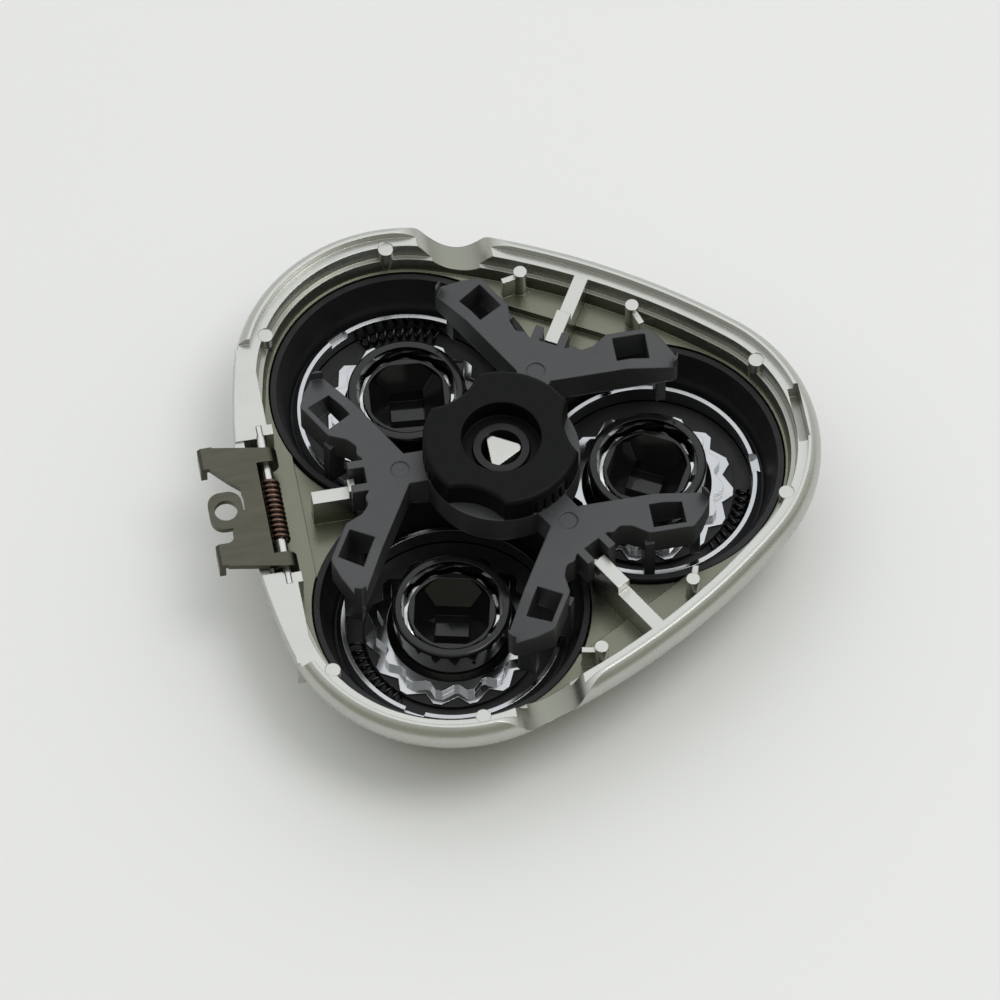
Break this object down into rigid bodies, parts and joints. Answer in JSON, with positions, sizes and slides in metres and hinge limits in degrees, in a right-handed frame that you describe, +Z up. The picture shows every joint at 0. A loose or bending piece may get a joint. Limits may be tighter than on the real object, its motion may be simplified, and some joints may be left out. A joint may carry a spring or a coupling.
{
  "type": "shaver head frame",
  "caption": "Lift-off head frame of a rotary shaver: silver rounded-triangle shell with floating heads, slotted guards, spinning cutters, retaining frame, lock knob and sprung hinge bracket.",
  "frame": {"origin": "on the table plane under the middle of the lock knob and of the three-cornered peg", "axes": "+Z up, out of the open inside; +X towards head 1, straight away from the hinge bracket"},
  "size_m": [0.0724, 0.0708, 0.02],
  "materials": {
    "silver_plastic": "satin metallic moulding",
    "black_plastic": "fine matt",
    "grey_plastic": "satin moulding",
    "knob_plastic": "fine matt",
    "gloss_black": "gloss",
    "bracket_steel": "satin sheet",
    "pin_steel": "drawn",
    "spring_steel": "dark oiled wire",
    "bright_ring": "bright plated",
    "guard_steel": "bright sheet",
    "cutter_steel": "ground",
    "head_spring_steel": "dark wire"
  },
  "bodies": {
    "root": {"shell_frame": "silver_plastic", "inner_tray": "black_plastic", "centre_post": "black_plastic", "retaining_frame": "grey_plastic", "hinge_pin": "pin_steel", "torsion_spring": "spring_steel"},
    "knob": {"lock_knob": "knob_plastic"},
    "bracket": {"hinge_bracket": "bracket_steel"},
    "head_1": {"chrome_ring_1": "bright_ring", "guard_carrier_1": "black_plastic", "guard_1": "guard_steel", "cap_ring_1": "gloss_black", "head_spring_1": "head_spring_steel"},
    "rotor_1": {"cutter_1": "cutter_steel", "cutter_hub_1": "gloss_black"},
    "head_2": {"chrome_ring_2": "bright_ring", "guard_carrier_2": "black_plastic", "guard_2": "guard_steel", "cap_ring_2": "gloss_black", "head_spring_2": "head_spring_steel"},
    "rotor_2": {"cutter_2": "cutter_steel", "cutter_hub_2": "gloss_black"},
    "head_3": {"chrome_ring_3": "bright_ring", "guard_carrier_3": "black_plastic", "guard_3": "guard_steel", "cap_ring_3": "gloss_black", "head_spring_3": "head_spring_steel"},
    "rotor_3": {"cutter_3": "cutter_steel", "cutter_hub_3": "gloss_black"}
  },
  "joints": [
    {"name": "knob_turn", "type": "hinge", "parent": "root", "child": "knob", "pos_m": [0, 0, 0.018], "axis": [0, 0, 1], "range_deg": [0, 60]},
    {"name": "bracket_swing", "type": "hinge", "parent": "root", "child": "bracket", "pos_m": [-0.027, 0, 0.0123], "axis": [0, 1, 0], "range_deg": [0, 95], "stiffness_Nm_per_rad": 0.002, "springref_deg": -28.65, "deforming": ["torsion_spring"]},
    {"name": "head_1_float", "type": "slide", "parent": "root", "child": "head_1", "axis": [0, 0, 1], "range_m": [0, 0.001], "stiffness_N_per_m": 300, "springref_m": -0.002},
    {"name": "cutter_1_spin", "type": "hinge", "parent": "head_1", "child": "rotor_1", "pos_m": [0.01732, 0, 0.003], "axis": [0, 0, 1], "continuous": true},
    {"name": "head_2_float", "type": "slide", "parent": "root", "child": "head_2", "axis": [0, 0, 1], "range_m": [0, 0.001], "stiffness_N_per_m": 300, "springref_m": -0.002},
    {"name": "cutter_2_spin", "type": "hinge", "parent": "head_2", "child": "rotor_2", "pos_m": [-0.00866, 0.015, 0.003], "axis": [0, 0, 1], "continuous": true},
    {"name": "head_3_float", "type": "slide", "parent": "root", "child": "head_3", "axis": [0, 0, 1], "range_m": [0, 0.001], "stiffness_N_per_m": 300, "springref_m": -0.002},
    {"name": "cutter_3_spin", "type": "hinge", "parent": "head_3", "child": "rotor_3", "pos_m": [-0.00866, -0.015, 0.003], "axis": [0, 0, 1], "continuous": true}
  ]
}
